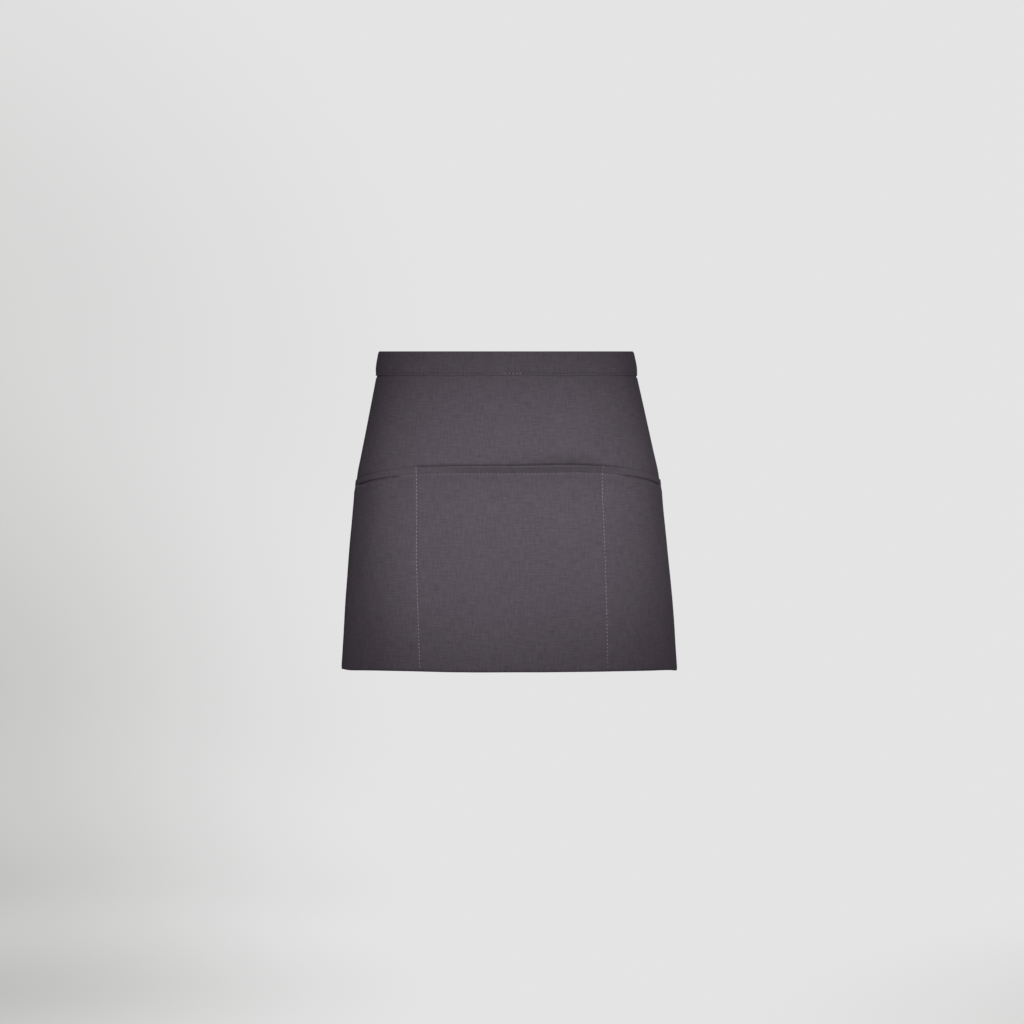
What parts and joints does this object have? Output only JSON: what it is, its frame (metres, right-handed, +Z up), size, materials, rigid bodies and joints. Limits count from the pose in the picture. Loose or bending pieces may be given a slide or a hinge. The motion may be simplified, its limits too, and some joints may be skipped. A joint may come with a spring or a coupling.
{
  "type": "waist apron",
  "caption": "Cloth waist apron in the form it takes on a wearer: folded waistband, flared skirt, stitched pocket panel across the front, and ties knotted behind.",
  "frame": {"origin": "middle of the waist opening, level with the top edge of the waistband", "axes": "+Z up out of the waist opening, -Y out of the front of the apron, +X to the right of someone who looks at the front"},
  "size_m": [0.3304, 0.2242, 0.3134],
  "materials": {
    "charcoal_cloth": "matt plain-weave cotton and polyester",
    "stitching": "matt spun polyester sewing thread"
  },
  "bodies": {
    "root": {"skirt_panel": "charcoal_cloth", "pocket_panel": "charcoal_cloth", "waistband": "charcoal_cloth", "tie_left": "charcoal_cloth", "tie_right": "charcoal_cloth", "tie_knot": "charcoal_cloth"}
  },
  "joints": []
}
